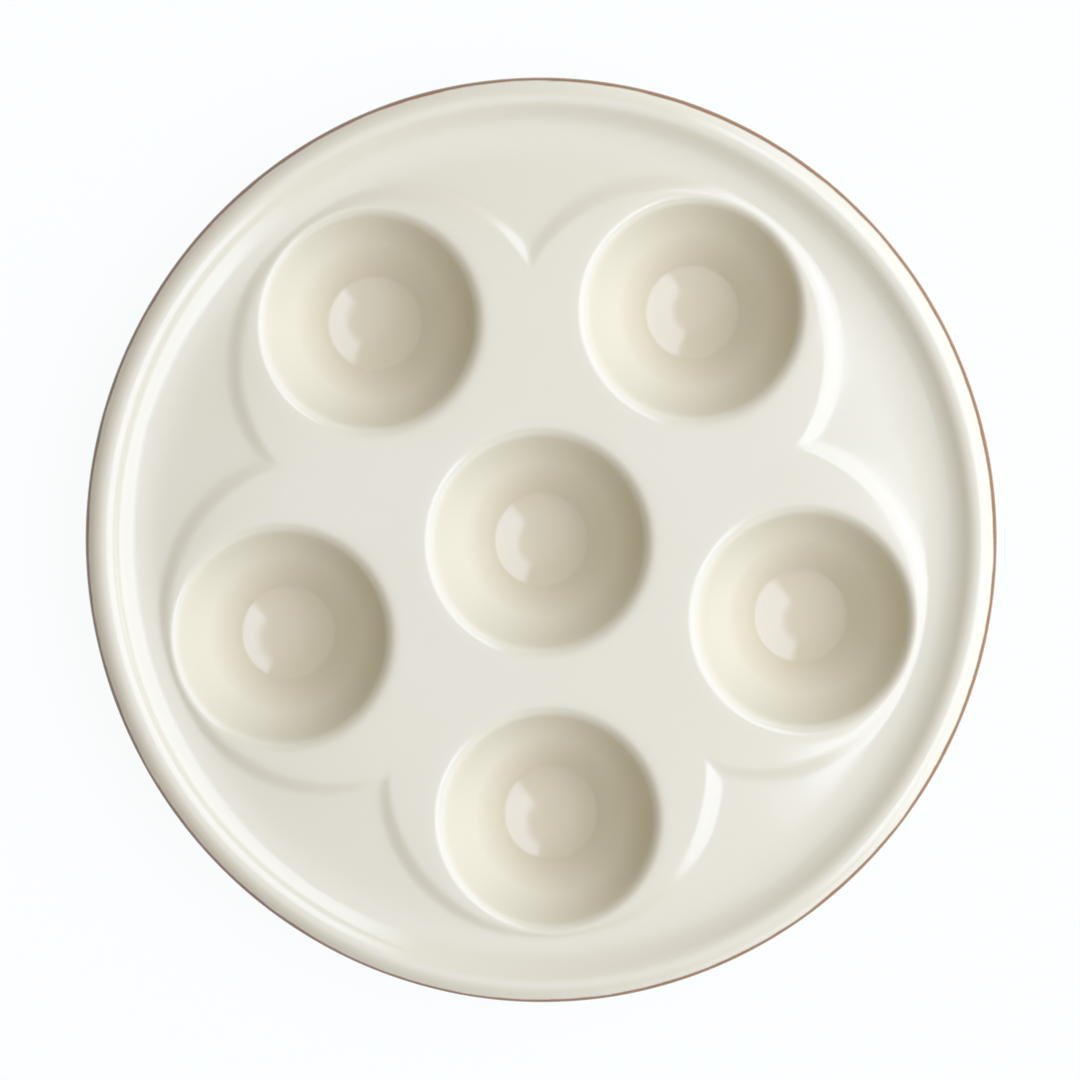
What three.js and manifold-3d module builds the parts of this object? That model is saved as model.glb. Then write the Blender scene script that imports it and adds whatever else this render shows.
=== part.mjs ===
// Escargot plate in glazed stoneware: a round dish with six snail wells, one in the middle and five round it.
// The fired clay is one casting. A cream glaze coats its upper side, and a brown glaze its outside and
// underside, so the plate is modelled as the bare clay and three coats of glaze, each a solid of its own.
// Millimetres, +Z up, origin at the middle of the foot ring's plane, with one well on the -Y side.
import * as THREE from 'three';
import { mergeVertices } from 'three/addons/utils/BufferGeometryUtils.js';
import Module from 'manifold-3d';

const wasm = await Module();
wasm.setup();

// Driving dimensions, measured on the glazed surface
const plateDiameter = 170;
const plateHeight = 25;
const lipRound = 3.45;             // outer rounding of the lip, from its crest to its widest line
const crestRound = 4.6;            // inner rounding of the lip, from its crest to the rim wall
const rimWallSlope = 30;           // degrees, where the rim wall is steepest
const rimFillet = 10;              // hollow rounding at the bottom of the rim wall
const sweepSlope = 14;             // degrees, where that rounding eases into the wide sweep of the pool
const sweepRound = 16;
const poolSlope = 4.6;             // degrees, the pool floor falls outwards

const outerWellCount = 5;
const wellLipRadius = 21.9;        // where the plateau starts to roll into a well
const rimBand = 11.9;              // from the outer wells' lips to the plate's edge
const wellLipRound = 3;
const wellWallSlope = 67;          // degrees, where the lip meets the steep wall
const wellFootSlope = 38;          // degrees, where that wall meets the shallow dish at its foot
const wellDishRadius = 8.8;
const wellDishDepth = 1.2;

const plateauStep = 0.35;          // height of the plateau over the pool floor at a cusp
const lobeTipGap = 0.3;            // how far a lobe's tip stays inside the outer edge of its well's lip
const cuspDepth = 20.8;            // from the lobes' tips in to the cusps between them
const plateauEdgeRound = 3;

const outsideRound = 10;           // outer wall, below its widest line
const outsideTurn = 50;            // degrees that this rounding turns through
const waistRound = 12;             // hollow rounding from there to the foot
const footDraft = 5;               // degrees off the vertical at the foot
const footWidth = 4.5;
const hollowDraft = 21;            // degrees off the vertical, inside the foot ring
const floorThickness = 4.8;        // under the lowest line of the pools
const wellWallThickness = 5;

const glazeThickness = 0.5;
const glazeGap = 0.1;              // between a coat and the clay that it covers
const glazeLineDrop = 2;           // from the crest down to the line where cream meets brown
const footWipe = 1.5;              // bare clay at the foot, wiped clean of glaze

// Facets
const plateSides = 48;
const wellSides = 18;
const arcStep = 15;                // degrees of arc in one facet, at most
const lobeSteps = 5;

// What follows from the driving dimensions
const radians = THREE.MathUtils.degToRad;
const sin = (degrees) => Math.sin(radians(degrees));
const cos = (degrees) => Math.cos(radians(degrees));
const tan = (degrees) => Math.tan(radians(degrees));

const plateRadius = plateDiameter / 2;
const wellRingRadius = plateRadius - rimBand - wellLipRadius;
const lobeTipRadius = wellRingRadius + wellLipRadius - lobeTipGap;
const crestRadius = plateRadius - lipRound;
const lipCentreZ = plateHeight - lipRound;
const glazeLineZ = plateHeight - glazeLineDrop;

const rimWallTop = new THREE.Vector2(
  crestRadius - crestRound * sin(rimWallSlope),
  plateHeight - crestRound * (1 - cos(rimWallSlope)),
);
const filletCentre = new THREE.Vector2(
  rimWallTop.x - rimFillet * sin(rimWallSlope),
  rimWallTop.y + rimFillet * cos(rimWallSlope),
);
const sweepCentre = new THREE.Vector2(
  filletCentre.x - (sweepRound - rimFillet) * sin(sweepSlope),
  filletCentre.y + (sweepRound - rimFillet) * cos(sweepSlope),
);
const poolLowestZ = sweepCentre.y - sweepRound;
const poolEdge = new THREE.Vector2(
  sweepCentre.x - sweepRound * sin(poolSlope),
  sweepCentre.y - sweepRound * cos(poolSlope),
);

// A lobe's circle runs through its tip and the cusps on both sides, which lie half way to the next wells
const sectorAngle = 360 / outerWellCount;
const cuspRadius = lobeTipRadius - cuspDepth;
const lobeCentreRadius =
  (lobeTipRadius ** 2 - cuspRadius ** 2) / (2 * (lobeTipRadius - cuspRadius * cos(sectorAngle / 2)));
const lobeRadius = lobeTipRadius - lobeCentreRadius;
const cuspFloorZ = poolEdge.y + (poolEdge.x - cuspRadius) * tan(poolSlope);
const plateauZ = cuspFloorZ + plateauStep;

// A well, downwards from its lip: the lip's rounding, the hollow-curved wall, then the dish
const wellWallTop = new THREE.Vector2(
  wellLipRadius - wellLipRound * sin(wellWallSlope),
  plateauZ - wellLipRound * (1 - cos(wellWallSlope)),
);
const wellWallRound = (wellWallTop.x - wellDishRadius) / (sin(wellWallSlope) - sin(wellFootSlope));
const wellWallCentre = new THREE.Vector2(
  wellWallTop.x - wellWallRound * sin(wellWallSlope),
  wellWallTop.y + wellWallRound * cos(wellWallSlope),
);
const dishRound = (wellDishRadius ** 2 + wellDishDepth ** 2) / (2 * wellDishDepth);
const dishEdgeSlope = THREE.MathUtils.radToDeg(Math.asin(wellDishRadius / dishRound));
const dishBottomZ = wellWallCentre.y - wellWallRound * cos(wellFootSlope) - wellDishDepth;

// The outer wall, downwards from its widest line to the foot
const outsideCentre = new THREE.Vector2(plateRadius - outsideRound, lipCentreZ);
const waistCentre = new THREE.Vector2(
  outsideCentre.x + (outsideRound + waistRound) * cos(outsideTurn),
  outsideCentre.y - (outsideRound + waistRound) * sin(outsideTurn),
);
const waistEnd = new THREE.Vector2(
  waistCentre.x - waistRound * cos(footDraft),
  waistCentre.y + waistRound * sin(footDraft),
);
const footOuterRadius = waistEnd.x - waistEnd.y * tan(footDraft);
const footInnerRadius = footOuterRadius - footWidth;
const hollowCeilingZ = poolLowestZ - floorThickness;

const clear = 10;                  // how far the cutting shapes run past what they cut

// Profiles are lists of points (radius, height), and a positive shrink moves one into the material

function arc(centre, radius, from, to) {
  const steps = Math.max(1, Math.ceil(Math.abs(to - from) / arcStep));
  const points = [];
  for (let i = 0; i <= steps; i++) {
    const angle = from + ((to - from) * i) / steps;
    points.push(new THREE.Vector2(centre.x + radius * cos(angle), centre.y + radius * sin(angle)));
  }
  return points;
}

function withoutRepeats(points) {
  return points.filter((point, i) => i === 0 || point.distanceTo(points[i - 1]) > 1e-6);
}

// Moves each point of an open profile to its right-hand side by a distance, with mitred corners
function offset(profile, distance) {
  const rightOf = (a, b) => new THREE.Vector2(b.y - a.y, a.x - b.x).normalize();
  return profile.map((point, i) => {
    const before = i > 0 ? rightOf(profile[i - 1], point) : rightOf(point, profile[1]);
    const after = i < profile.length - 1 ? rightOf(point, profile[i + 1]) : before;
    const along = before.clone().add(after).normalize();
    const moved = point.clone().addScaledVector(along, distance / along.dot(before));
    return point.x === 0 ? moved.setX(0) : moved;
  });
}

// Solids

function solid(geometry) {
  geometry.deleteAttribute('normal');
  geometry.deleteAttribute('uv');
  const merged = mergeVertices(geometry);
  const corners = merged.index.array;
  const triangles = [];
  for (let i = 0; i < corners.length; i += 3) {
    const [a, b, c] = corners.slice(i, i + 3);
    if (a !== b && b !== c && c !== a) triangles.push(a, b, c);
  }
  const vertProperties = merged.attributes.position.array;
  const triVerts = new Uint32Array(triangles);
  return new wasm.Manifold(new wasm.Mesh({ numProp: 3, vertProperties, triVerts }));
}

// A closed profile, anticlockwise with the radius to the right and the height upwards, turned about Z
function turned(profile, sides, x = 0, y = 0) {
  const geometry = new THREE.LatheGeometry(profile, sides);
  return solid(geometry.rotateX(Math.PI / 2).translate(x, y, 0));
}

function below(height) {
  const slab = new THREE.CylinderGeometry(plateDiameter, plateDiameter, 2 * clear, plateSides);
  return solid(slab.rotateX(Math.PI / 2).translate(0, 0, height - clear));
}

function outerWellAngles() {
  return Array.from({ length: outerWellCount }, (_, i) => -90 + i * sectorAngle);
}

function wellCentres() {
  const ring = outerWellAngles().map((angle) => [wellRingRadius * cos(angle), wellRingRadius * sin(angle)]);
  return [[0, 0], ...ring];
}

// The round dish without plateau and wells, solid down to the table
function dish(shrink) {
  const flatRadius = cuspRadius - plateauEdgeRound;
  const flatZ = poolEdge.y + (poolEdge.x - flatRadius) * tan(poolSlope);
  const surface = withoutRepeats([
    new THREE.Vector2(0, flatZ),
    new THREE.Vector2(flatRadius, flatZ),
    ...arc(sweepCentre, sweepRound, -90 - poolSlope, -90 + sweepSlope),
    ...arc(filletCentre, rimFillet, -90 + sweepSlope, -90 + rimWallSlope),
    ...arc(new THREE.Vector2(crestRadius, plateHeight - crestRound), crestRound, 90 + rimWallSlope, 90),
    ...arc(new THREE.Vector2(crestRadius, lipCentreZ), lipRound, 90, 0),
    ...arc(outsideCentre, outsideRound, 0, -outsideTurn),
    ...arc(waistCentre, waistRound, 180 - outsideTurn, 180 - footDraft),
    new THREE.Vector2(footOuterRadius - clear * tan(footDraft), -clear),
  ]);
  const profile = [...offset(surface, shrink), new THREE.Vector2(0, -clear)].reverse();
  return turned(profile, plateSides).subtract(below(0));
}

// The raised middle, with one round lobe about each outer well and a cusp between each two
function plateau(shrink) {
  const outline = new THREE.Shape();
  const cuspX = cuspRadius * cos(sectorAngle / 2) - lobeCentreRadius;
  const cuspY = cuspRadius * sin(sectorAngle / 2);
  const halfSweep = THREE.MathUtils.radToDeg(Math.atan2(cuspY, cuspX));
  for (const angle of outerWellAngles()) {
    const [x, y] = [lobeCentreRadius * cos(angle), lobeCentreRadius * sin(angle)];
    outline.absarc(x, y, lobeRadius, radians(angle - halfSweep), radians(angle + halfSweep), false);
  }
  outline.closePath();
  const edge = plateauEdgeRound - shrink;
  const base = hollowCeilingZ;
  const geometry = new THREE.ExtrudeGeometry(outline, {
    depth: plateauZ - shrink - base - 2 * edge,
    curveSegments: lobeSteps,
    bevelThickness: edge,
    bevelSize: edge,
    bevelOffset: -edge - shrink,
    bevelSegments: 3,
  });
  return solid(geometry.translate(0, 0, base + edge));
}

// The inside of a well below its lip: the dish, then the wall
function wellSurface() {
  const dishCentre = new THREE.Vector2(0, dishBottomZ + dishRound);
  const dish = arc(dishCentre, dishRound, -90, -90 + dishEdgeSlope);
  const wall = arc(wellWallCentre, wellWallRound, -90 + wellFootSlope, -90 + wellWallSlope);
  dish[0].setX(0);
  return withoutRepeats([...dish, ...wall]);
}

// The empty space of one well, which opens upwards past the rim
function wellSpace(shrink, x, y) {
  const lipEnd = 12;
  const flareTop = plateauZ + 0.3;
  const lipCentre = new THREE.Vector2(wellLipRadius, plateauZ - wellLipRound);
  const lip = arc(lipCentre, wellLipRound, 90 + wellWallSlope, 90 + lipEnd);
  const lipTop = lip[lip.length - 1];
  const flareEnd = new THREE.Vector2(lipTop.x + (flareTop - lipTop.y) / tan(lipEnd), flareTop);
  const moved = offset(withoutRepeats([...wellSurface(), ...lip, flareEnd]), shrink);
  const mouth = moved[moved.length - 1];
  const top = plateHeight + clear;
  const profile = [...moved, new THREE.Vector2(mouth.x, top), new THREE.Vector2(0, top)];
  return turned(profile, wellSides, x, y);
}

// Everything under the upper and outer surface of the plate
function blank(shrink) {
  let form = dish(shrink).add(plateau(shrink));
  for (const [x, y] of wellCentres()) form = form.subtract(wellSpace(shrink, x, y));
  return form;
}

// The outside of one well, which hangs down into the hollow of the underside
function wellDome(shrink, x, y) {
  const moved = offset(wellSurface(), wellWallThickness - shrink);
  const profile = [...moved, new THREE.Vector2(0, moved[moved.length - 1].y)];
  return turned(profile, wellSides, x, y);
}

// The empty space under the plate, inside the foot ring
function hollow(shrink) {
  const wall = [
    new THREE.Vector2(footInnerRadius + clear * tan(hollowDraft), -clear),
    new THREE.Vector2(footInnerRadius - hollowCeilingZ * tan(hollowDraft), hollowCeilingZ),
    new THREE.Vector2(0, hollowCeilingZ),
  ];
  const profile = [new THREE.Vector2(0, -clear), ...offset(wall, shrink)];
  let space = turned(profile, plateSides);
  for (const [x, y] of wellCentres()) space = space.subtract(wellDome(shrink, x, y));
  return space;
}

// The outer half of the wall, below the line where the two glazes meet
function outsideZone() {
  const lipMiddle = plateRadius - lipRound / 2;
  const footMiddle = footOuterRadius - footWidth / 2;
  const knee = poolLowestZ - floorThickness / 2;
  const far = plateRadius + clear;
  const profile = [
    new THREE.Vector2(footMiddle, -clear),
    new THREE.Vector2(far, -clear),
    new THREE.Vector2(far, glazeLineZ),
    new THREE.Vector2(lipMiddle, glazeLineZ),
    new THREE.Vector2(lipMiddle, knee),
    new THREE.Vector2(footMiddle, knee),
    new THREE.Vector2(footMiddle, -clear),
  ];
  return turned(profile, plateSides);
}

// Pieces

const plate = new THREE.Group();

function addPiece(name, form, color, roughness) {
  const { vertProperties, triVerts } = form.getMesh();
  const geometry = new THREE.BufferGeometry();
  geometry.setAttribute('position', new THREE.BufferAttribute(vertProperties, 3));
  geometry.setIndex(new THREE.BufferAttribute(triVerts, 1));
  geometry.computeVertexNormals();
  const mesh = new THREE.Mesh(geometry, new THREE.MeshStandardMaterial({ color, roughness, metalness: 0 }));
  mesh.name = name;
  plate.add(mesh);
}

const clayInset = glazeThickness + glazeGap;
const upperSkin = blank(0).subtract(blank(glazeThickness));
const undersideSkin = hollow(glazeThickness).subtract(hollow(0));

addPiece('stoneware_body', blank(clayInset).subtract(hollow(clayInset)), 0xc9b391, 0.9);
addPiece('cream_glaze', upperSkin.subtract(outsideZone()), 0xe6e2d5, 0.12);
addPiece('brown_glaze_outside', upperSkin.intersect(outsideZone()).subtract(below(footWipe)), 0x8a5226, 0.15);
addPiece('brown_glaze_underside', undersideSkin.subtract(below(footWipe)), 0x8a5226, 0.15);

export default plate;
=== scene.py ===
import math
from types import SimpleNamespace

import bpy
from mathutils import Matrix, Vector


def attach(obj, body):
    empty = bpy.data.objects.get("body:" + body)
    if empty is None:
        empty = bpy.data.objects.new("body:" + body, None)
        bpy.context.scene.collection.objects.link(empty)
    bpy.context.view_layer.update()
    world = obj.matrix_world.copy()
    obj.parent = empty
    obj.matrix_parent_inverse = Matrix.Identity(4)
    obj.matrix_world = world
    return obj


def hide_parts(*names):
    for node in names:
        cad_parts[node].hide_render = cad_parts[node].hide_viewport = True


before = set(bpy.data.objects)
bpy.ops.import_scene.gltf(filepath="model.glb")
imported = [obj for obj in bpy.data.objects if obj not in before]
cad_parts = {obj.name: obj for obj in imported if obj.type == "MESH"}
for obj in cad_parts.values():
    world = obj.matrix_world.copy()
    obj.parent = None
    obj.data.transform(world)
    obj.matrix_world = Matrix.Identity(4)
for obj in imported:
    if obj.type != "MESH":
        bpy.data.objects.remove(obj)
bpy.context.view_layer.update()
print("frame loaded, nodes:", ", ".join(sorted(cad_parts)))

# The escargot plate is one casting of stoneware, with cream glaze on top and brown glaze outside and below.
# One geometry tree draws the whole glazed skin of the plate. Each piece keeps its own part of that skin.

plateSizes = {  # millimetres and degrees on the glazed surface, the same values as in the CAD part
    "plateRadius": 85.0,
    "plateHeight": 25.0,
    "lipRound": 3.45,
    "crestRound": 4.6,
    "rimWallSlope": 30.0,
    "rimFillet": 10.0,
    "sweepSlope": 14.0,
    "sweepRound": 16.0,
    "poolSlope": 4.6,
    "rimBand": 11.9,
    "wellLipRadius": 21.9,
    "wellLipRound": 3.0,
    "wellWallSlope": 67.0,
    "wellLipEnd": 12.0,  # slope at which the lip's rounding runs out
    "wellFootSlope": 38.0,
    "wellDishRadius": 8.8,
    "wellDishDepth": 1.2,
    "plateauStep": 0.35,
    "lobeTipGap": 0.3,
    "cuspDepth": 20.8,
    "plateauEdgeRound": 3.0,
    "outsideRound": 10.0,
    "outsideTurn": 50.0,
    "waistRound": 12.0,
    "footDraft": 5.0,
    "footWidth": 4.5,
    "hollowDraft": 21.0,
    "floorThickness": 4.8,
    "wellWallThickness": 5.0,
    "glazeLineDrop": 2.0,
    "footWipe": 1.5,
}

softSizes = {  # what the glaze softens, and how the fired plate strays from its drawing, in millimetres
    "dishSoft": 0.1,  # edge of the shallow dish in a well
    "dishSoftReach": 0.7,
    "lipSoft": 0.4,  # where a well's lip meets the plateau
    "cuspSoft": 1.4,  # point of the notch between two lobes
    "poolSoft": 0.3,  # foot of the plateau's edge
    "lobeFall": 1.7,  # how far the lobes sink towards their tips
    "lobeFallStart": 46.0,
    "flankReach": 1.5,  # width over which a lobe's edge rolls down
    "flankRound": 6.3,
    "plainMiddle": 8.0,  # from the notches' points in to the plateau's plain middle
    "undersideSoft": 3.0,
    "domeSoft": 0.6,  # the dish's edge, seen from below
    "domeReach": 3.0,  # how far past its lip a well's underside is followed
    "footCorner": 0.8,
    "waver": 0.07,
    "waverSpan": 34.0,
    "waverRise": 4.0,  # height over which the waver grows, above the foot
    "outOfRound": 0.0078,  # share by which one axis is longer
}

coatSizes = {"thickness": 0.5, "clayInset": 0.6}  # millimetres
coatNumbers = {"all": -1, "cream": 0, "outside": 1, "underside": 2, "bareFoot": 3}
millimetre = 0.001  # the plate is drawn in millimetres, and the scene is in metres

meshSteps = {  # faces in one fifth of the plate
    "inner": 28, "side": 26, "outer": 58,
    "wellRings": (7, 6, 9, 9, 4, 8, 5), "centreRings": (7, 6, 9, 9, 5),
    "rimRings": 13, "lipRings": 6,
    "outsideRings": (4, 8, 8, 3), "footRings": (2, 4, 4, 4, 2),
    "domeRings": (12, 8), "hollowRings": 10,
}

meshGaps = {  # where the bands of faces begin and end, and how close points are sewn together, millimetres
    "pastLip": 0.8,
    "insideSweep": 0.4,
    "insideFoot": 6.5,
    "beforeLobe": 0.4,
    "afterLobe": 2.4,
    "lipToLobe": 0.6,
    "lobeToEdge": 1.5,
    "narrowest": 0.7,
    "domeToEdge": 2.0,
    "sewing": 0.015,
}
sharpAngle = 42.0  # degrees, past which an edge isn't shaded smooth

wellCount = 5
halfSector = math.pi / wellCount


def planPlate(given):
    s = SimpleNamespace(**given)
    p = SimpleNamespace()
    rad, sin, cos, tan = math.radians, math.sin, math.cos, math.tan
    wall, sweep, pool = rad(s.rimWallSlope), rad(s.sweepSlope), rad(s.poolSlope)
    for name in ("plateHeight", "lipRound", "crestRound", "rimFillet", "sweepRound", "wellLipRound",
                 "outsideRound", "waistRound", "footWipe"):
        setattr(p, name, given[name])
    p.wellRing = s.plateRadius - s.rimBand - s.wellLipRadius
    p.crestRadius = s.plateRadius - s.lipRound
    # the rim, inwards from its crest: rounding, hollow rounding, wide sweep, then the falling pool floor
    p.rimTopRadius = p.crestRadius - s.crestRound * sin(wall)
    rimTopZ = s.plateHeight - s.crestRound * (1 - cos(wall))
    p.filletCentre = p.rimTopRadius - s.rimFillet * sin(wall)
    filletZ = rimTopZ + s.rimFillet * cos(wall)
    p.filletEnd = p.filletCentre + s.rimFillet * sin(sweep)
    p.sweepCentre = p.filletCentre - (s.sweepRound - s.rimFillet) * sin(sweep)
    sweepZ = filletZ + (s.sweepRound - s.rimFillet) * cos(sweep)
    p.poolEdge = p.sweepCentre - s.sweepRound * sin(pool)
    p.poolEdgeZ = sweepZ - s.sweepRound * cos(pool)
    p.poolFall = tan(pool)
    poolLowestZ = sweepZ - s.sweepRound
    # the plateau and its lobes, which cross at the cusps
    lobeTip = p.wellRing + s.wellLipRadius - s.lobeTipGap
    cuspRadius = lobeTip - s.cuspDepth
    p.lobeCentre = (lobeTip ** 2 - cuspRadius ** 2) / (2 * (lobeTip - cuspRadius * cos(halfSector)))
    p.lobeRadius = lobeTip - p.lobeCentre
    p.lobeInset = p.wellRing - p.lobeCentre
    p.lobeTip = lobeTip
    p.flatRadius = cuspRadius - s.plateauEdgeRound
    p.plateauZ = p.poolEdgeZ + (p.poolEdge - cuspRadius) * p.poolFall + s.plateauStep
    # a well, upwards from the shallow dish at its bottom
    p.dishRadius = s.wellDishRadius
    p.dishRound = (s.wellDishRadius ** 2 + s.wellDishDepth ** 2) / (2 * s.wellDishDepth)
    p.wellLip = s.wellLipRadius
    topSlope, footSlope = rad(s.wellWallSlope), rad(s.wellFootSlope)
    p.wallTop = s.wellLipRadius - s.wellLipRound * sin(topSlope)
    wallTopZ = p.plateauZ - s.wellLipRound * (1 - cos(topSlope))
    p.wallRound = (p.wallTop - s.wellDishRadius) / (sin(topSlope) - sin(footSlope))
    p.wallMiddle = p.wallTop - p.wallRound * sin(topSlope)  # lies past the well's axis
    p.wallMiddleZ = wallTopZ + p.wallRound * cos(topSlope)
    p.dishMiddleZ = p.wallMiddleZ - p.wallRound * cos(footSlope) - s.wellDishDepth + p.dishRound
    p.lipEnd = s.wellLipRadius - s.wellLipRound * sin(rad(s.wellLipEnd))
    p.lipFlare = tan(rad(s.wellLipEnd))
    p.lipOuter = s.wellLipRadius + meshGaps["pastLip"]
    # the outside, downwards from the line between the two glazes
    p.glazeTurn = math.asin(1 - s.glazeLineDrop / s.lipRound) if s.glazeLineDrop < s.lipRound else 0.0
    p.glazeRadius = p.crestRadius + s.lipRound * cos(p.glazeTurn)
    p.glazeZ = s.plateHeight - s.glazeLineDrop
    p.outsideTurn = rad(s.outsideTurn)
    p.footTurn = rad(s.footDraft)
    across = (s.outsideRound + s.waistRound) * cos(p.outsideTurn) - s.waistRound * cos(p.footTurn)
    drop = (s.outsideRound + s.waistRound) * sin(p.outsideTurn) - s.waistRound * sin(p.footTurn)
    waistEndRadius = s.plateRadius - s.outsideRound + across
    waistEndZ = s.plateHeight - s.lipRound - drop
    footOuter = waistEndRadius - waistEndZ * tan(p.footTurn)
    p.wipeRadius = footOuter + s.footWipe * tan(p.footTurn)
    p.wipeRun = p.wipeRadius - waistEndRadius
    p.wipeDrop = s.footWipe - waistEndZ
    # the foot ring with its two rounded corners, and the hollow of the underside
    c = softSizes["footCorner"]
    p.hollowTurn = rad(s.hollowDraft)
    p.footInner = footOuter - s.footWidth
    p.hollowFall = 1 / tan(p.hollowTurn)
    p.footCorner = c
    outerMiddle = footOuter + c * tan(p.footTurn) - c / cos(p.footTurn)
    innerMiddle = p.footInner - c * tan(p.hollowTurn) + c / cos(p.hollowTurn)
    p.footRun = outerMiddle + c * cos(p.footTurn) - p.wipeRadius
    p.footDrop = c - c * sin(p.footTurn) - s.footWipe
    p.footFlat = innerMiddle - outerMiddle
    p.innerWipeRadius = p.footInner - s.footWipe * tan(p.hollowTurn)
    p.innerRun = p.innerWipeRadius - (innerMiddle - c * cos(p.hollowTurn))
    p.innerRise = s.footWipe - (c - c * sin(p.hollowTurn))
    p.ceilingZ = poolLowestZ - s.floorThickness
    p.wallDomeRound = p.wallRound + s.wellWallThickness
    p.dishDomeRound = p.dishRound + s.wellWallThickness
    # where the cells about the wells end and the rings about the plate's axis begin
    p.topEdge = p.sweepCentre + s.sweepRound * sin(sweep) - meshGaps["insideSweep"]
    p.hollowEdge = p.footInner - meshGaps["insideFoot"]
    p.topCorner = math.atan2(p.topEdge * sin(halfSector), p.topEdge * cos(halfSector) - p.wellRing)
    p.hollowCorner = math.atan2(p.hollowEdge * sin(halfSector), p.hollowEdge * cos(halfSector) - p.wellRing)
    return {**vars(p), **softSizes}


class Formula:  # a socket that adds and multiplies like a number, and leaves a Math node for each step
    def __init__(self, tree, socket):
        self.tree = tree
        self.socket = socket

    def __add__(self, other):
        return calc("ADD", self, other)

    def __radd__(self, other):
        return calc("ADD", other, self)

    def __sub__(self, other):
        return calc("SUBTRACT", self, other)

    def __rsub__(self, other):
        return calc("SUBTRACT", other, self)

    def __mul__(self, other):
        return calc("MULTIPLY", self, other)

    def __rmul__(self, other):
        return calc("MULTIPLY", other, self)

    def __truediv__(self, other):
        return calc("DIVIDE", self, other)

    def __rtruediv__(self, other):
        return calc("DIVIDE", other, self)

    def __neg__(self):
        return calc("MULTIPLY", self, -1.0)


def feed(tree, socket, value):
    if isinstance(value, Formula):
        tree.links.new(value.socket, socket)
    else:
        socket.default_value = value


def calc(operation, *terms):
    tree = next(term.tree for term in terms if isinstance(term, Formula))
    node = tree.nodes.new("ShaderNodeMath")
    node.operation = operation
    for socket, term in zip(node.inputs, terms):
        feed(tree, socket, term)
    return Formula(tree, node.outputs[0])


def sine(angle):
    return calc("SINE", angle) if isinstance(angle, Formula) else math.sin(angle)


def cosine(angle):
    return calc("COSINE", angle) if isinstance(angle, Formula) else math.cos(angle)


def root(value):
    return calc("SQRT", value)


def least(a, b):
    return calc("MINIMUM", a, b)


def most(a, b):
    return calc("MAXIMUM", a, b)


def between(value, low, high):
    return least(most(value, low), high)


def span(x, y):
    return root(x * x + y * y)


def put(tree, kind, inputs=None, **settings):
    node = tree.nodes.new(kind)
    for name, value in settings.items():
        setattr(node, name, value)
    for name, value in (inputs or {}).items():
        socket = next(s for s in node.inputs if s.name == name and s.enabled)
        feed(tree, socket, value)
    return node


def out(node, name=None):
    socket = next(s for s in node.outputs if s.enabled and name in (None, s.name))
    return Formula(node.id_data, socket)


def partsOf(tree, vector):
    parted = put(tree, "ShaderNodeSeparateXYZ", {"Vector": vector})
    return [Formula(tree, socket) for socket in parted.outputs]


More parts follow.
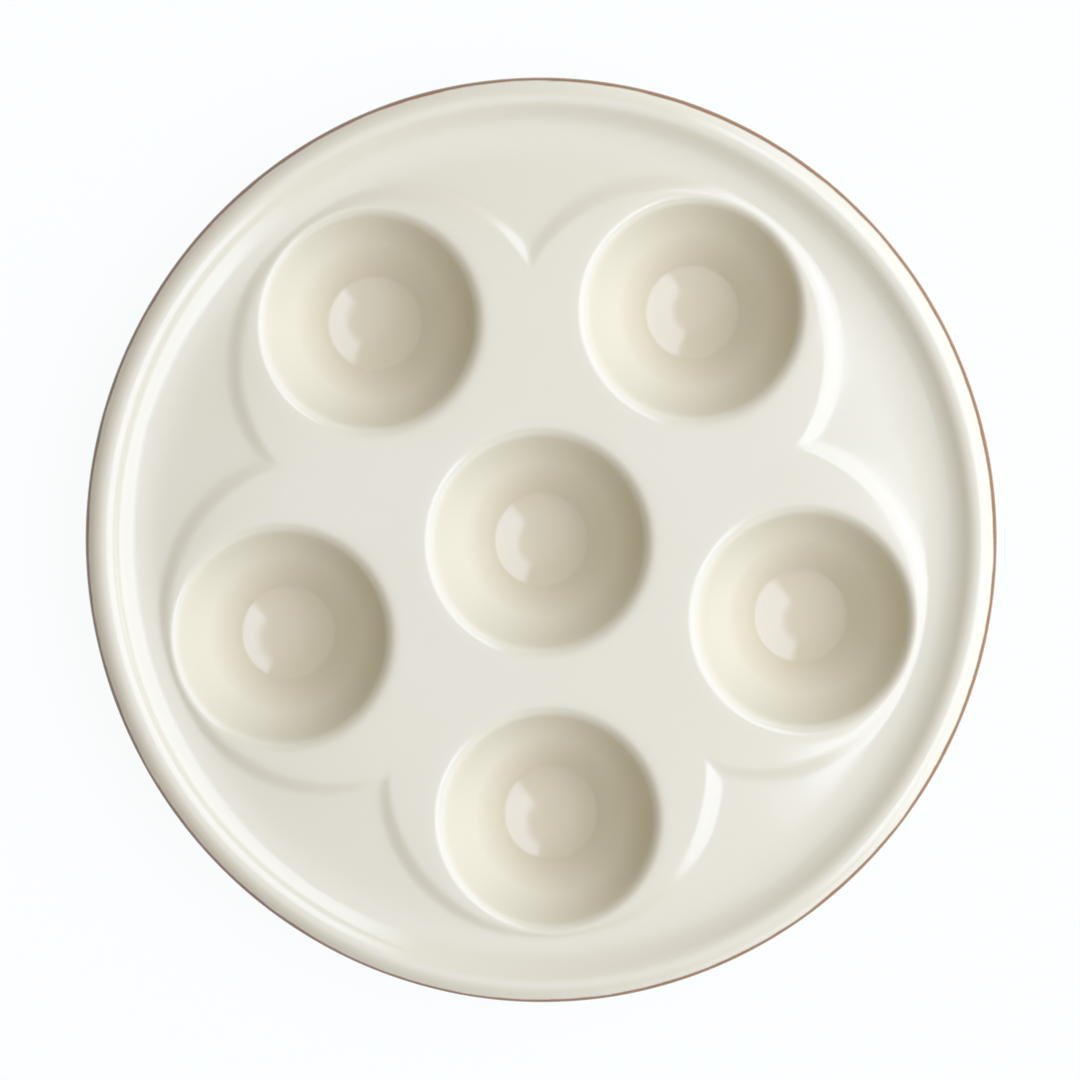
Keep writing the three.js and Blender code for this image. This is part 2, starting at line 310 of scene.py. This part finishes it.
def buildPlateTree(sizeNames, steps, gaps):
    tree = bpy.data.node_groups.new("escargotPlate", "GeometryNodeTree")
    tree.interface.new_socket("Geometry", in_out="OUTPUT", socket_type="NodeSocketGeometry")
    for name in (*sizeNames, "inset"):
        tree.interface.new_socket(name, in_out="INPUT", socket_type="NodeSocketFloat")
    tree.interface.new_socket("coat", in_out="INPUT", socket_type="NodeSocketInt")
    tree.interface.new_socket("finish", in_out="INPUT", socket_type="NodeSocketMaterial")
    given = tree.nodes.new("NodeGroupInput")
    size = SimpleNamespace(**{name: Formula(tree, given.outputs[name]) for name in (*sizeNames, "inset")})
    coat = Formula(tree, given.outputs["coat"])
    finish = Formula(tree, given.outputs["finish"])

    position = out(put(tree, "GeometryNodeInputPosition"))
    x, y, z = partsOf(tree, position)
    across, along = x + 0.5, y + 0.5  # on a fresh grid
    fromAxis = span(x, y)

    def moved(geometry, px, py, pz):
        point = out(put(tree, "ShaderNodeCombineXYZ", {"X": px, "Y": py, "Z": pz}))
        return out(put(tree, "GeometryNodeSetPosition", {"Geometry": geometry, "Position": point}))

    def patch(columns, rings, px, py, pz=0.0):
        grid = put(tree, "GeometryNodeMeshGrid", {"Vertices X": columns + 1, "Vertices Y": rings + 1})
        return moved(out(grid, "Mesh"), px, py, pz)

    def joined(geometries):
        node = tree.nodes.new("GeometryNodeJoinGeometry")
        for geometry in geometries:
            tree.links.new(geometry.socket, node.inputs[0])
        return out(node)

    def marked(geometry, number):
        values = {"Geometry": geometry, "Name": "coat", "Value": number}
        return out(put(tree, "GeometryNodeStoreNamedAttribute", values, data_type="INT", domain="FACE"))

    def shares(counts):  # how far each stretch of a patch is walked, from 0 to 1, along its rings
        begun, found = 0, []
        for count in counts:
            found.append(between((along * float(sum(counts)) - float(begun)) / float(count), 0.0, 1.0))
            begun += count
        return found

    def bandWalk(limits, counts):
        walked = limits[0]
        for inner, outer, share in zip(limits, limits[1:], shares(counts)):
            walked = walked + (outer - inner) * share
        return walked

    def arcLift(where, start, end, middle, radius, facing):  # rise along an arc of a profile
        here = between(where, start, end) - middle
        begin = start - middle
        return (root(radius * radius - begin * begin) - root(radius * radius - here * here)) * facing

    # the cells about the wells: each runs from the well's axis to the line half way to its neighbour
    def cellSheet(edge, corner, limitsFor, counts, centreLimits, centreCounts, up):
        def turning(start, end):
            return start + (end - start) * across if up else end + (start - end) * across

        def cell(columns, middle, dirX, dirY, limits, rings):
            walk = bandWalk(limits, rings)
            return patch(columns, sum(rings), middle + walk * dirX, walk * dirY)

        def wellCell(columns, dirX, dirY, reach):
            return cell(columns, size.wellRing, dirX, dirY, limitsFor(dirX, dirY, reach), counts)

        found = []
        turn = turning(math.pi + halfSector, math.pi - halfSector)
        dirX, dirY = cosine(turn), sine(turn)
        reach = size.wellRing * -0.5 / dirX
        found.append(wellCell(steps["inner"], dirX, dirY, reach))
        for side in (1.0, -1.0):
            ends = (math.pi - halfSector, corner) if side > 0 else (-corner, halfSector - math.pi)
            turn = turning(*ends)
            dirX, dirY = cosine(turn), sine(turn)
            reach = size.wellRing * math.sin(halfSector) / sine(turn * side - halfSector)
            found.append(wellCell(steps["side"], dirX, dirY, reach))
        turn = turning(halfSector, -halfSector)
        runX, runY = edge * cosine(turn) - size.wellRing, edge * sine(turn)
        reach = span(runX, runY)
        dirX, dirY = runX / reach, runY / reach
        found.append(wellCell(steps["outer"], dirX, dirY, reach))
        turn = turning(halfSector, -halfSector)
        dirX, dirY = cosine(turn), sine(turn)
        limits = centreLimits(size.wellRing * 0.5 / dirX)
        found.append(cell(steps["inner"], 0.0, dirX, dirY, limits, centreCounts))
        return found

    wellLimits = [0.0, size.dishRadius - size.dishSoftReach, size.dishRadius + size.dishSoftReach]
    wellLimits += [size.wallTop, size.lipOuter]

    def topLimits(dirX, dirY, reach):
        aside = size.lobeInset * dirY
        lobe = root(size.lobeRadius * size.lobeRadius - aside * aside) - size.lobeInset * dirX
        lobeStart = lobe - size.flankReach - gaps["beforeLobe"]
        lobeStart = between(lobeStart, size.lipOuter + gaps["lipToLobe"], reach - gaps["lobeToEdge"])
        lobeEnd = most(lobe + gaps["afterLobe"], lobeStart + gaps["narrowest"])
        lobeEnd = least(lobeEnd, reach - gaps["narrowest"])
        return [*wellLimits, lobeStart, lobeEnd, reach]

    def topCentreLimits(reach):
        return [*wellLimits, reach]

    def ringPatch(start, end, rings, up):
        turn = (halfSector - across * (2 * halfSector)) if up else (across * (2 * halfSector) - halfSector)
        radius = start + (end - start) * along
        return patch(steps["outer"], rings, radius * cosine(turn), radius * sine(turn))

    toWell = least(span(x - size.wellRing, y), fromAxis)  # distance to the nearest well's axis

    # heights of the upper side: the pool and rim, the plateau with its lobes, and the wells cut into both
    inPool = between(fromAxis, size.flatRadius, size.poolEdge)
    poolFloor = size.poolEdgeZ + (size.poolEdge - inPool) * size.poolFall
    sweep = arcLift(fromAxis, size.poolEdge, size.filletEnd, size.sweepCentre, size.sweepRound, 1.0)
    rimWall = arcLift(fromAxis, size.filletEnd, size.rimTopRadius, size.filletCentre, size.rimFillet, 1.0)
    crest = arcLift(fromAxis, size.rimTopRadius, size.crestRadius, size.crestRadius, size.crestRound, -1.0)
    ground = poolFloor + sweep + rimWall + crest

    lobeHere = span(x - size.lobeCentre, y)
    nextX = size.lobeCentre * math.cos(2 * halfSector)
    nextY = size.lobeCentre * math.sin(2 * halfSector)
    lobeNext = span(x - nextX, calc("ABSOLUTE", y) - nextY)
    outside = calc("SMOOTH_MIN", lobeHere, lobeNext, size.cuspSoft) - size.lobeRadius
    outside = least(outside, fromAxis - (size.flatRadius - size.plainMiddle))
    rolled = between(outside + size.flankReach, 0.0, size.flankReach)
    edgeDrop = rolled * rolled / (size.flankRound * 2.0)
    edgeDrop = edgeDrop + most(outside, 0.0) * size.flankReach / size.flankRound
    towardsTip = most(fromAxis - size.lobeFallStart, 0.0) / (size.lobeTip - size.lobeFallStart)
    plateau = size.plateauZ - towardsTip * towardsTip * size.lobeFall - edgeDrop
    land = calc("SMOOTH_MAX", plateau, ground, size.poolSoft)

    def hollowArc(where, middle, middleZ, radius):  # height of an arc that bulges downwards
        here = where - middle
        return middleZ - root(radius * radius - here * here)

    dish = hollowArc(least(toWell, size.wallTop), 0.0, size.dishMiddleZ, size.dishRound)
    wall = hollowArc(least(toWell, size.wallTop), size.wallMiddle, size.wallMiddleZ, size.wallRound)
    well = calc("SMOOTH_MAX", dish, wall, size.dishSoft)
    well = well + arcLift(toWell, size.wallTop, size.lipEnd, size.wellLip, size.wellLipRound, -1.0)
    well = well + most(toWell - size.lipEnd, 0.0) * size.lipFlare
    upTheWall = least(toWell / size.wellLip, 1.0)
    well = well - (size.plateauZ - land) * upTheWall * upTheWall  # a lip sinks with the land about it
    topZ = calc("SMOOTH_MIN", land, well, size.lipSoft)

    # heights of the underside: the hollow's ceiling, the wells that hang from it, the foot's inner wall
    domeReach = least(toWell, size.wellLip + size.domeReach)
    dishDome = hollowArc(domeReach, 0.0, size.dishMiddleZ, size.dishDomeRound)
    wallDome = hollowArc(domeReach, size.wallMiddle, size.wallMiddleZ, size.wallDomeRound)
    dome = calc("SMOOTH_MAX", dishDome, wallDome, size.domeSoft)
    footWall = (size.footInner - fromAxis) * size.hollowFall
    underZ = calc("SMOOTH_MIN", size.ceilingZ, dome, size.undersideSoft)
    underZ = calc("SMOOTH_MIN", underZ, footWall, size.undersideSoft)

    # arcs and lines one after another, turned about the plate's axis
    def profilePatch(startRadius, startZ, parts, counts):
        radius, height = startRadius, startZ
        for part, share in zip(parts, shares(counts)):
            if part[0] == "arc":
                arcRadius, start, end = part[1:]
                turn = start + (end - start) * share
                radius = radius + arcRadius * (cosine(turn) - cosine(start))
                height = height + arcRadius * (sine(turn) - sine(start))
            else:
                radius = radius + part[1] * share
                height = height + part[2] * share
        turn = halfSector - across * (2 * halfSector)
        return patch(steps["outer"], sum(counts), radius * cosine(turn), radius * sine(turn), height)

    topCells = cellSheet(
        size.topEdge, size.topCorner, topLimits, steps["wellRings"],
        topCentreLimits, steps["centreRings"], True)
    topCells.append(ringPatch(size.topEdge, size.crestRadius, steps["rimRings"], True))
    top = moved(joined(topCells), x, y, topZ)
    lipTop = ("arc", size.lipRound, math.pi / 2, size.glazeTurn)
    lip = profilePatch(size.crestRadius, size.plateHeight, [lipTop], (steps["lipRings"],))

    outerWall = profilePatch(size.glazeRadius, size.glazeZ, [
        ("arc", size.lipRound, size.glazeTurn, 0.0),
        ("arc", size.outsideRound, 0.0, -size.outsideTurn),
        ("arc", size.waistRound, math.pi - size.outsideTurn, math.pi - size.footTurn),
        ("line", size.wipeRun, size.wipeDrop),
    ], steps["outsideRings"])

    foot = profilePatch(size.wipeRadius, size.footWipe, [
        ("line", size.footRun, size.footDrop),
        ("arc", size.footCorner, -size.footTurn, math.pi / -2),
        ("line", size.footFlat, 0.0),
        ("arc", size.footCorner, math.pi / -2, size.hollowTurn - math.pi),
        ("line", size.innerRun, size.innerRise),
    ], steps["footRings"])

    def domeLimits(dirX, dirY, reach):
        return [0.0, least(size.wellLip, reach - gaps["domeToEdge"]), reach]

    def domeCentreLimits(reach):
        return [0.0, size.wellLip, reach]

    hollowCells = cellSheet(
        size.hollowEdge, size.hollowCorner, domeLimits, steps["domeRings"],
        domeCentreLimits, steps["domeRings"], False)
    hollowCells.append(ringPatch(size.hollowEdge, size.innerWipeRadius, steps["hollowRings"], False))
    hollow = moved(joined(hollowCells), x, y, underZ)

    coats = {"cream": joined([top, lip]), "outside": outerWall, "underside": hollow, "bareFoot": foot}
    sector = joined([marked(sheet, coatNumbers[name]) for name, sheet in coats.items()])

    # five such sectors, one well of them on the -Y side, sewn into one closed skin
    spots = out(put(tree, "GeometryNodePoints", {"Count": wellCount}))
    turn = out(put(tree, "GeometryNodeInputIndex")) * (2 * halfSector) - math.pi / 2
    facing = out(put(tree, "FunctionNodeAxisAngleToRotation", {"Angle": turn}))
    placing = {"Points": spots, "Instance": sector, "Rotation": facing}
    copies = put(tree, "GeometryNodeInstanceOnPoints", placing)
    whole = out(put(tree, "GeometryNodeRealizeInstances", {"Geometry": out(copies)}))
    skin = out(put(tree, "GeometryNodeMergeByDistance", {"Geometry": whole, "Distance": gaps["sewing"]}))

    # the slow waver of a fired plate, and the clay's place under its glaze; the foot stays flat
    rippling = {"Vector": position, "Scale": 1.0 / size.waverSpan, "Detail": 1.0}
    ripple = put(tree, "ShaderNodeTexNoise", rippling)
    aboveFoot = between((z - size.footWipe) / size.waverRise, 0.0, 1.0)
    lift = (out(ripple, "Fac") - 0.5) * 2.0 * size.waver * aboveFoot - size.inset
    normal = out(put(tree, "GeometryNodeInputNormal"), "Normal")
    shift = put(tree, "ShaderNodeVectorMath", {"Vector": normal, "Scale": lift}, operation="SCALE")
    rise = between(z / size.footWipe, 0.0, 1.0)
    keepFlat = put(tree, "ShaderNodeCombineXYZ", {"X": 1.0, "Y": 1.0, "Z": rise})
    steady = tree.nodes.new("ShaderNodeVectorMath")
    steady.operation = "MULTIPLY"
    tree.links.new(shift.outputs["Vector"], steady.inputs[0])
    tree.links.new(keepFlat.outputs["Vector"], steady.inputs[1])
    skin = out(put(tree, "GeometryNodeSetPosition", {"Geometry": skin, "Offset": out(steady)}))

    # one coat is kept, or the whole skin for the clay
    label = put(tree, "GeometryNodeInputNamedAttribute", {"Name": "coat"}, data_type="INT")
    coatHere = out(label, "Attribute")
    isOther = calc("GREATER_THAN", calc("ABSOLUTE", coatHere - coat), 0.5)
    oneCoat = calc("GREATER_THAN", coat, -0.5)
    dropping = {"Geometry": skin, "Selection": isOther * oneCoat}
    skin = out(put(tree, "GeometryNodeDeleteGeometry", dropping, domain="FACE"))
    skin = out(put(tree, "GeometryNodeRemoveAttribute", {"Geometry": skin, "Name": "coat"}))
    shorter, longer = (1.0 - size.outOfRound) * millimetre, (1.0 + size.outOfRound) * millimetre
    scale = put(tree, "ShaderNodeCombineXYZ", {"X": shorter, "Y": longer, "Z": millimetre})
    skin = out(put(tree, "GeometryNodeTransform", {"Geometry": skin, "Scale": out(scale)}))
    skin = out(put(tree, "GeometryNodeSetShadeSmooth", {"Geometry": skin}))
    skin = out(put(tree, "GeometryNodeSetMaterial", {"Geometry": skin, "Material": finish}))
    tree.links.new(skin.socket, tree.nodes.new("NodeGroupOutput").inputs[0])
    return tree


def newFinish(name):
    finish = bpy.data.materials.new(name)
    finish.use_nodes = True
    tree = finish.node_tree
    shader = next(node for node in tree.nodes if node.type == "BSDF_PRINCIPLED")
    place = put(tree, "ShaderNodeTexCoord")
    return finish, tree, shader, Formula(tree, place.outputs["Object"])


def noiseAt(tree, where, scale, detail=2.0, roughness=0.5):
    values = {"Vector": where, "Scale": scale, "Detail": detail, "Roughness": roughness}
    return out(put(tree, "ShaderNodeTexNoise", values), "Fac")


def blendColours(tree, share, first, second):
    node = put(tree, "ShaderNodeMix", data_type="RGBA")
    sockets = [s for s in node.inputs if s.enabled]
    feed(tree, sockets[0], share)
    for socket, colour in zip(sockets[1:], (first, second)):
        feed(tree, socket, colour if isinstance(colour, Formula) else (*colour, 1.0))
    return Formula(tree, next(s for s in node.outputs if s.enabled))


def bumpFrom(tree, height, distance, below=None):
    node = put(tree, "ShaderNodeBump", {"Height": height, "Distance": distance, "Strength": 1.0})
    if below is not None:
        feed(tree, node.inputs["Normal"], below)
    return out(node)


creamSizes = {  # metres; each noise has its scale, its detail and sometimes its roughness
    "ivory": (0.787, 0.727, 0.526),
    "warmIvory": (0.772, 0.703, 0.496),
    "shadedDeepIvory": (0.625, 0.547, 0.356),
    "edgeTan": (0.28, 0.125, 0.040),
    "cloud": (22.0, 3.0),
    "cloudContrast": 1.2,
    "cloudShift": 0.3,
    "shadedDeepTop": 0.0150,  # height below which the cream is painted darker and warmer, partly for thicker glaze and partly as painted shade, down to the bottom of the wells
    "shadedDeepSpan": 0.0070,
    "edgeStart": 0.0839,  # radius at which the cream starts to thin out over the brown
    "edgeWidth": 0.0004,
    "fineStray": (160.0, 3.0),
    "slowStray": (24.0, 2.0),
    "strayReach": 0.0004,
    "roughness": 0.05,
    "patchy": (60.0, 3.0),
    "patchyRoughness": 0.03,
    "refraction": 1.5,
    "peel": (420.0, 2.0),
    "peelHeight": 0.000006,
    "drift": (70.0, 1.0),
    "driftHeight": 0.00005,
}


def makeCreamGlaze(c, outOfRound):
    finish, tree, shader, here = newFinish("creamGlaze")
    x, y, z = partsOf(tree, here)
    cloud = noiseAt(tree, here, *c["cloud"])
    warmth = between(cloud * c["cloudContrast"] - c["cloudShift"], 0.0, 1.0)
    body = blendColours(tree, warmth, c["ivory"], c["warmIvory"])
    # painted shade: the cream turns darker and warmer down in the wells, where the glaze also lies thicker
    shadedDepth = between((c["shadedDeepTop"] - z) / c["shadedDeepSpan"], 0.0, 1.0)
    body = blendColours(tree, shadedDepth, body, c["shadedDeepIvory"])
    fine = (noiseAt(tree, here, *c["fineStray"]) - 0.5) * c["strayReach"]
    slow = (noiseAt(tree, here, *c["slowStray"]) - 0.5) * c["strayReach"]
    radius = span(x * (1 + outOfRound), y * (1 - outOfRound)) + (fine + slow)
    thin = between((radius - c["edgeStart"]) / c["edgeWidth"], 0.0, 1.0)
    feed(tree, shader.inputs["Base Color"], blendColours(tree, thin * thin, body, c["edgeTan"]))
    patchy = noiseAt(tree, here, *c["patchy"])
    feed(tree, shader.inputs["Roughness"], patchy * c["patchyRoughness"] + c["roughness"])
    feed(tree, shader.inputs["IOR"], c["refraction"])
    peel = bumpFrom(tree, noiseAt(tree, here, *c["peel"]), c["peelHeight"])
    drift = bumpFrom(tree, noiseAt(tree, here, *c["drift"]), c["driftHeight"], peel)
    feed(tree, shader.inputs["Normal"], drift)
    return finish


brownSizes = {  # metres
    "caramel": (0.30, 0.140, 0.045),
    "brown": (0.235, 0.098, 0.032),
    "deepBrown": (0.105, 0.042, 0.016),
    "runs": (190.0, 4.0, 0.6),  # the glaze ran down a little as it melted
    "runStretch": (1.0, 1.0, 0.22),
    "runShare": 0.9,
    "cloud": (48.0, 4.0, 0.6),
    "cloudShare": 1.1,
    "shadeShift": 0.5,
    "breakTop": 0.0215,  # height above which the glaze is thin and pale
    "breakDepth": 0.0050,
    "breakStray": 0.004,
    "breakShift": 0.75,
    "roughness": 0.10,
    "patchyRoughness": 0.08,
    "refraction": 1.52,
    "peel": (420.0, 2.0),
    "peelHeight": 0.00001,
    "runHeight": 0.00006,
}


def makeBrownGlaze(c):
    finish, tree, shader, here = newFinish("brownGlaze")
    z = partsOf(tree, here)[2]
    stretched = put(tree, "ShaderNodeMapping", {"Vector": here, "Scale": c["runStretch"]})
    runs = noiseAt(tree, out(stretched), *c["runs"])
    cloud = noiseAt(tree, here, *c["cloud"])
    shade = between(cloud * c["cloudShare"] + runs * c["runShare"] - c["shadeShift"], 0.0, 1.0)
    body = blendColours(tree, shade, c["deepBrown"], c["brown"])
    height = z + (runs - 0.5) * c["breakStray"]
    paleness = between((height - c["breakTop"]) / c["breakDepth"] + c["breakShift"], 0.0, 1.0)
    feed(tree, shader.inputs["Base Color"], blendColours(tree, paleness, body, c["caramel"]))
    feed(tree, shader.inputs["Roughness"], cloud * c["patchyRoughness"] + c["roughness"])
    feed(tree, shader.inputs["IOR"], c["refraction"])
    peel = bumpFrom(tree, noiseAt(tree, here, *c["peel"]), c["peelHeight"])
    feed(tree, shader.inputs["Normal"], bumpFrom(tree, runs, c["runHeight"], peel))
    return finish


claySizes = {
    "buff": (0.56, 0.44, 0.30),
    "sand": (0.45, 0.33, 0.21),
    "speck": (0.20, 0.12, 0.07),
    "cloud": (90.0, 5.0, 0.6),
    "cloudContrast": 1.6,
    "cloudShift": 0.3,
    "grainScale": 620.0,
    "grainSize": 0.20,
    "grainEdge": 9.0,
    "darkGrains": (330.0, 1.0),
    "darkLimit": 0.56,  # only grains where the noise is above this are dark
    "speckShare": 0.7,
    "roughness": 0.74,
    "patchyRoughness": 0.15,
    "grit": (900.0, 4.0, 0.7),
    "gritHeight": 0.00012,  # metres
}


def makeBareStoneware(c):
    finish, tree, shader, here = newFinish("bareStoneware")
    cloud = noiseAt(tree, here, *c["cloud"])
    sandy = between(cloud * c["cloudContrast"] - c["cloudShift"], 0.0, 1.0)
    body = blendColours(tree, sandy, c["buff"], c["sand"])
    grains = put(tree, "ShaderNodeTexVoronoi", {"Vector": here, "Scale": c["grainScale"]})
    dot = between((c["grainSize"] - out(grains, "Distance")) * c["grainEdge"], 0.0, 1.0)
    dark = calc("GREATER_THAN", noiseAt(tree, here, *c["darkGrains"]), c["darkLimit"])
    speckled = blendColours(tree, dot * dark * c["speckShare"], body, c["speck"])
    feed(tree, shader.inputs["Base Color"], speckled)
    feed(tree, shader.inputs["Roughness"], cloud * c["patchyRoughness"] + c["roughness"])
    feed(tree, shader.inputs["Normal"], bumpFrom(tree, noiseAt(tree, here, *c["grit"]), c["gritHeight"]))
    return finish


def makePiece(name, tree, plan, coat, inset, finish, thickness, node):
    piece = bpy.data.objects.new(name, bpy.data.meshes.new(name))
    bpy.context.scene.collection.objects.link(piece)
    form = piece.modifiers.new("plate form", "NODES")
    form.node_group = tree
    values = {**plan, "inset": inset, "coat": coatNumbers[coat], "finish": finish}
    for item in tree.interface.items_tree:
        if item.in_out == "INPUT":
            form[item.identifier] = values[item.name]
    if thickness:
        wall = piece.modifiers.new("coat thickness", "SOLIDIFY")
        wall.thickness = thickness * millimetre
        wall.offset = -1.0
        wall.use_even_offset = True
    graph = bpy.context.evaluated_depsgraph_get()
    made = bpy.data.meshes.new_from_object(piece.evaluated_get(graph), depsgraph=graph)
    piece.modifiers.clear()
    piece.data = made
    made.name = name
    made.set_sharp_from_angle(angle=math.radians(sharpAngle))
    triangles = sum(len(face.vertices) - 2 for face in made.polygons)
    print(name, "made with", triangles, "triangles")
    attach(piece, "root")
    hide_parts(node)
    return piece


platePlan = planPlate(plateSizes)
plateTree = buildPlateTree(list(platePlan), meshSteps, meshGaps)
print("plate tree built,", len(plateTree.nodes), "nodes")

creamGlaze = makeCreamGlaze(creamSizes, softSizes["outOfRound"])
brownGlaze = makeBrownGlaze(brownSizes)
bareStoneware = makeBareStoneware(claySizes)
print("glazes and clay mixed")

coatThickness = coatSizes["thickness"]
makePiece("stonewareBody", plateTree, platePlan, "all", coatSizes["clayInset"], bareStoneware, 0.0,
          "stoneware_body")
makePiece("creamGlazeTop", plateTree, platePlan, "cream", 0.0, creamGlaze, coatThickness,
          "cream_glaze")
makePiece("brownGlazeOutside", plateTree, platePlan, "outside", 0.0, brownGlaze, coatThickness,
          "brown_glaze_outside")
makePiece("brownGlazeUnderside", plateTree, platePlan, "underside", 0.0, brownGlaze, coatThickness,
          "brown_glaze_underside")


floorSizes = {  # metres
    "radius": 4.0,
    "sides": 96,
    "drop": 0.0001,  # clear of the foot ring, so that the two faces don't coincide
    "white": (0.93, 0.95, 0.95),
    "glow": (0.98, 1.0, 1.0),
    "glowShare": 0.95,  # what is left lets the shadow of the plate show
}


def makeFloor(c):
    sides, radius = c["sides"], c["radius"]
    turns = [2 * math.pi * i / sides for i in range(sides)]
    corners = [(radius * math.cos(turn), radius * math.sin(turn), -c["drop"]) for turn in turns]
    mesh = bpy.data.meshes.new("paleFloor")
    mesh.from_pydata(corners, [], [list(range(sides))])
    floor = bpy.data.objects.new("paleFloor", mesh)
    bpy.context.scene.collection.objects.link(floor)
    paint = bpy.data.materials.new("paleFloor")
    paint.use_nodes = True
    tree = paint.node_tree
    tree.nodes.clear()
    matt = put(tree, "ShaderNodeBsdfDiffuse", {"Color": (*c["white"], 1.0)})
    glow = put(tree, "ShaderNodeEmission", {"Color": (*c["glow"], 1.0), "Strength": 1.0})
    seen = put(tree, "ShaderNodeLightPath")
    ray = most(out(seen, "Is Glossy Ray"), out(seen, "Is Transmission Ray"))
    ray = most(out(seen, "Is Camera Ray"), ray)
    mixed = tree.nodes.new("ShaderNodeMixShader")
    feed(tree, mixed.inputs[0], ray * c["glowShare"])
    tree.links.new(matt.outputs[0], mixed.inputs[1])
    tree.links.new(glow.outputs[0], mixed.inputs[2])
    tree.links.new(mixed.outputs[0], tree.nodes.new("ShaderNodeOutputMaterial").inputs["Surface"])
    mesh.materials.append(paint)
    return floor


lightSizes = {  # degrees and metres; a radiance of 1 is white
    "daylight": (0.90, 1.0, 1.32),
    "roomColour": (1.0, 0.78, 0.46),
    "room": 0.17,
    "horizon": {  # paler walls low down, all but on the left
        "radiance": 0.85, "left": -0.45, "leftFade": 0.6, "top": 0.5, "topFade": 0.25},
    "overhead": {"azimuth": -75.0, "elevation": 82.0, "radiance": 1.25, "core": 4.0, "reach": 28.0},
    "skylight": {
        "azimuth": 6.0, "halfWidth": 60.0, "low": 47.0, "high": 76.0,
        "edge": 3.5, "sideEdge": 7.0, "radiance": 3.55},
    "sideBox": {
        "azimuth": 9.0, "elevation": 35.5, "distance": 0.55, "aimHeight": 0.023,
        "width": 1.13, "height": 0.246, "radiance": 1.9},
}


def skyward(azimuth, elevation):
    turn, rise = math.radians(azimuth), math.radians(elevation)
    return Vector((math.cos(rise) * math.cos(turn), math.cos(rise) * math.sin(turn), math.sin(rise)))


def makeSoftbox(name, c, colour):
    away = skyward(c["azimuth"], c["elevation"])
    data = bpy.data.lights.new(name, "AREA")
    data.shape = "RECTANGLE"
    data.size = c["width"]
    data.size_y = c["height"]
    data.color = colour
    data.energy = c["radiance"] * math.pi * c["width"] * c["height"]
    lamp = bpy.data.objects.new(name, data)
    lamp.location = Vector((0.0, 0.0, c["aimHeight"])) + away * c["distance"]
    lamp.rotation_euler = (-away).to_track_quat("-Z", "Y").to_euler()
    lamp.visible_camera = False
    bpy.context.scene.collection.objects.link(lamp)
    return lamp


def makeRoomLight(c):
    world = bpy.data.worlds.new("room")
    world.use_nodes = True
    tree = world.node_tree
    walls = next(node for node in tree.nodes if node.type == "BACKGROUND")
    walls.inputs["Color"].default_value = (*c["roomColour"], 1.0)
    walls.inputs["Strength"].default_value = c["room"]
    x, y, z = partsOf(tree, out(put(tree, "ShaderNodeTexCoord"), "Generated"))

    def eased(value, start, end):  # from 0 to 1 between two values
        values = {"Value": value, "From Min": start, "From Max": end}
        return out(put(tree, "ShaderNodeMapRange", values, interpolation_type="SMOOTHSTEP"), "Result")

    pale = c["horizon"]
    horizon = between((x - pale["left"]) / pale["leftFade"], 0.0, 1.0)
    horizon = horizon * between((pale["top"] - z) / pale["topFade"], 0.0, 1.0) * pale["radiance"]
    # a broad soft light near the top of the room, with no edge to show in the glaze
    soft = c["overhead"]
    middle = skyward(soft["azimuth"], soft["elevation"])
    towards = x * middle.x + y * middle.y + z * middle.z
    reach, core = math.radians(soft["reach"]), math.radians(soft["core"])
    overhead = eased(towards, math.cos(reach), math.cos(core)) * soft["radiance"]
    # a curved skylight on the right, whose image is the crescent at the bottom of each well
    pane = c["skylight"]
    middle = skyward(pane["azimuth"], 0.0)
    aside = (x * middle.x + y * middle.y) / most(span(x, y), 0.001)  # never divides by nothing
    names = ("low", "high", "halfWidth", "edge", "sideEdge")
    low, high, half, blur, sideBlur = (math.radians(pane[name]) for name in names)
    inside = eased(z, math.sin(low - blur), math.sin(low + blur))
    inside = inside * eased(z, math.sin(high + blur), math.sin(high - blur))
    inside = inside * eased(aside, math.cos(half + sideBlur), math.cos(half - sideBlur))
    strength = overhead + inside * pane["radiance"] + horizon
    light = put(tree, "ShaderNodeBackground", {"Color": (*c["daylight"], 1.0), "Strength": strength})
    both = tree.nodes.new("ShaderNodeAddShader")
    tree.links.new(walls.outputs[0], both.inputs[0])
    tree.links.new(light.outputs[0], both.inputs[1])
    result = next(node for node in tree.nodes if node.type == "OUTPUT_WORLD")
    tree.links.new(both.outputs[0], result.inputs["Surface"])
    bpy.context.scene.world = world
    return world


makeFloor(floorSizes)
makeRoomLight(lightSizes)
makeSoftbox("sideSoftbox", lightSizes["sideBox"], lightSizes["daylight"])
print("floor and lights placed")


cameraSizes = {
    "eye": (0.0139, 0.0257, 0.724),
    "target": (0.0, 0.0004, 0.0235),
    "roll": 2.0,  # degrees that the plate is turned anticlockwise in the picture
    "coverage": 0.1994,  # metres across the square picture at the target
    "sensor": 36.0,  # millimetres
    "nearest": 0.01,
    "farthest": 50.0,
}


def makeCamera(c):
    eye, target = Vector(c["eye"]), Vector(c["target"])
    ahead = (target - eye).normalized()
    roll = math.radians(c["roll"])
    right = ahead.cross(Vector((math.sin(roll), math.cos(roll), 0.0))).normalized()
    upward = right.cross(ahead)
    data = bpy.data.cameras.new("camera")
    data.sensor_width = c["sensor"]
    data.lens = data.sensor_width * (target - eye).length / c["coverage"]
    data.clip_start = c["nearest"]
    data.clip_end = c["farthest"]
    camera = bpy.data.objects.new("camera", data)
    axes = Matrix((right, upward, -ahead)).transposed()
    camera.matrix_world = Matrix.Translation(eye) @ axes.to_4x4()
    bpy.context.scene.collection.objects.link(camera)
    bpy.context.scene.camera = camera
    return camera


makeCamera(cameraSizes)
bpy.context.scene.view_settings.view_transform = "Standard"
print("camera placed")
